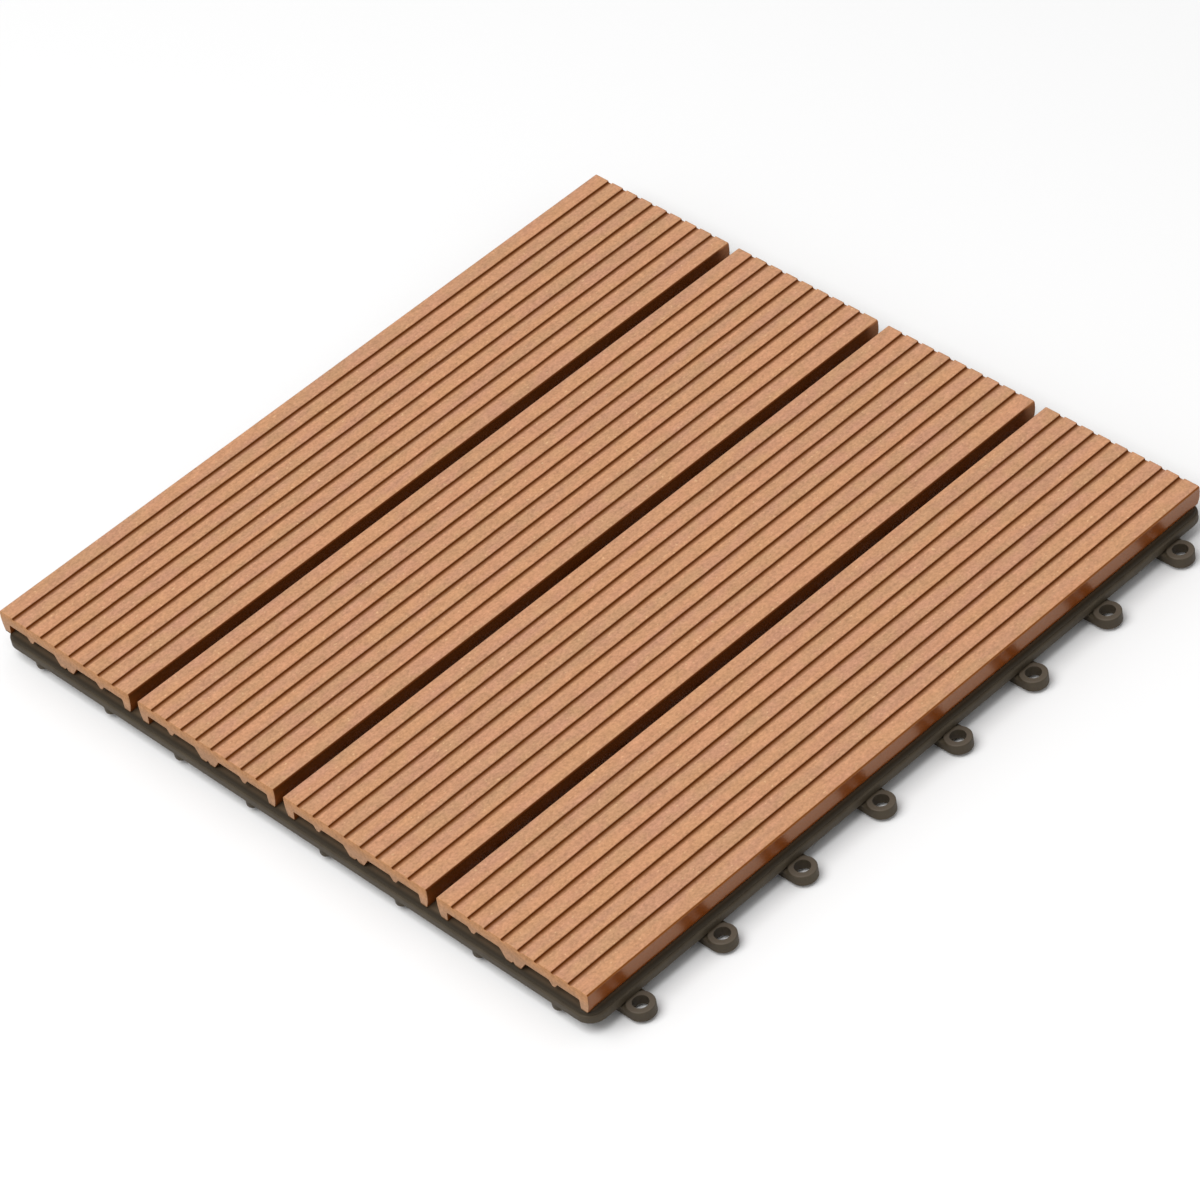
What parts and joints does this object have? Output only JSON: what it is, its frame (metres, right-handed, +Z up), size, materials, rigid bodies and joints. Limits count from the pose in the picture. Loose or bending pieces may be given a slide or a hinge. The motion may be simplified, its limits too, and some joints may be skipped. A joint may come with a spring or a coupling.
{
  "type": "interlocking deck tile",
  "caption": "Square floor tile: grooved composite slats screwed to a moulded plastic grid, with loops on two sides and pegs on the other two that hook tiles together.",
  "frame": {"origin": "on the floor, at the middle of the square module that one tile fills", "axes": "+Z up, +X across the slats towards a side with loops, +Y along the slats towards the other"},
  "size_m": [0.3075, 0.3075, 0.02],
  "materials": {
    "slat_composite": "extruded wood-plastic composite, matt, tan brown with a faint mottle",
    "grid_plastic": "moulded polypropylene, dark olive grey, low sheen",
    "screw_steel": "zinc plated steel"
  },
  "bodies": {
    "root": {"base_grid": "grid_plastic", "slat_screws": "screw_steel", "slat_1": "slat_composite", "slat_2": "slat_composite", "slat_3": "slat_composite", "slat_4": "slat_composite"}
  },
  "joints": []
}
